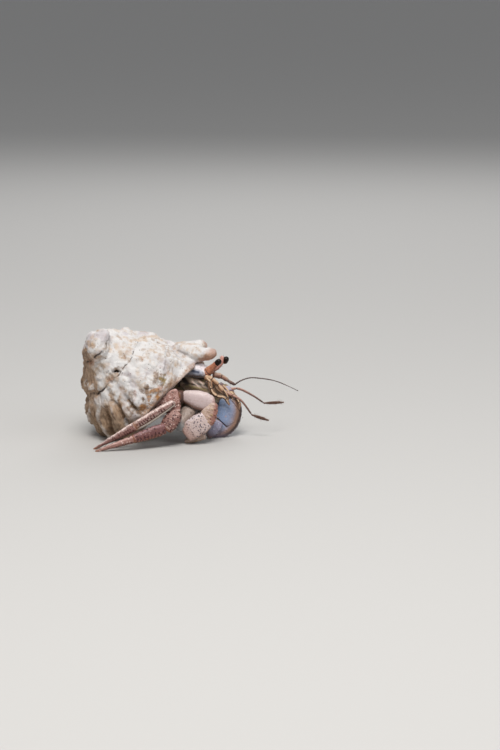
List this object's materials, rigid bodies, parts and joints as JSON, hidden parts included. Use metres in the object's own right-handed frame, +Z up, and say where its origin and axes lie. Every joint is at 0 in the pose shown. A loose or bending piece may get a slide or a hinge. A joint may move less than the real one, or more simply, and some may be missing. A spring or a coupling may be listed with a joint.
{
  "type": "hermit crab",
  "caption": "Land hermit crab walking in a worn, knobbly turban shell, as a still life-size model: claws folded in front, walking legs trailing, eyes and feelers out.",
  "frame": {"origin": "on the floor under the middle of the bounding box", "axes": "+X the way the crab walks, +Y its left side, +Z up"},
  "size_m": [0.061, 0.0458, 0.0317],
  "materials": {
    "shell": "worn chalky shell",
    "plate": "smooth horny plate",
    "claw": "smooth horny plate",
    "leg": "granular horny plate",
    "eye": "gloss",
    "feeler": "satin",
    "body": "moist skin"
  },
  "bodies": {
    "root": {"shell": "shell", "shield": "plate", "trunk": "body", "eyeRight": "eye", "eyeLeft": "eye", "eyestalkRight": "feeler", "eyestalkLeft": "feeler", "antennaRight": "feeler", "antennaLeft": "feeler", "whipRight": "feeler", "whipLeft": "feeler", "antennuleRight": "feeler", "antennuleLeft": "feeler", "paddleRight": "feeler", "paddleLeft": "feeler", "mouthLimbRight": "feeler", "mouthLimbLeft": "feeler", "legTwoRightMerus": "plate", "legTwoRightCarpus": "leg", "legTwoRightPropodus": "leg", "legTwoRightDactyl": "leg", "legThreeRightMerus": "leg", "legThreeRightCarpus": "leg", "legThreeRightPropodus": "leg", "legThreeRightDactyl": "leg", "legTwoLeftMerus": "plate", "legTwoLeftCarpus": "leg", "legTwoLeftPropodus": "leg", "legTwoLeftDactyl": "leg", "legThreeLeftMerus": "leg", "legThreeLeftCarpus": "leg", "legThreeLeftPropodus": "leg", "legThreeLeftDactyl": "leg", "clawRightMerus": "claw", "clawRightCarpus": "claw", "clawRightPalm": "claw", "clawRightFinger": "claw", "clawLeftMerus": "claw", "clawLeftCarpus": "claw", "clawLeftPalm": "claw", "clawLeftFinger": "claw"}
  },
  "joints": []
}
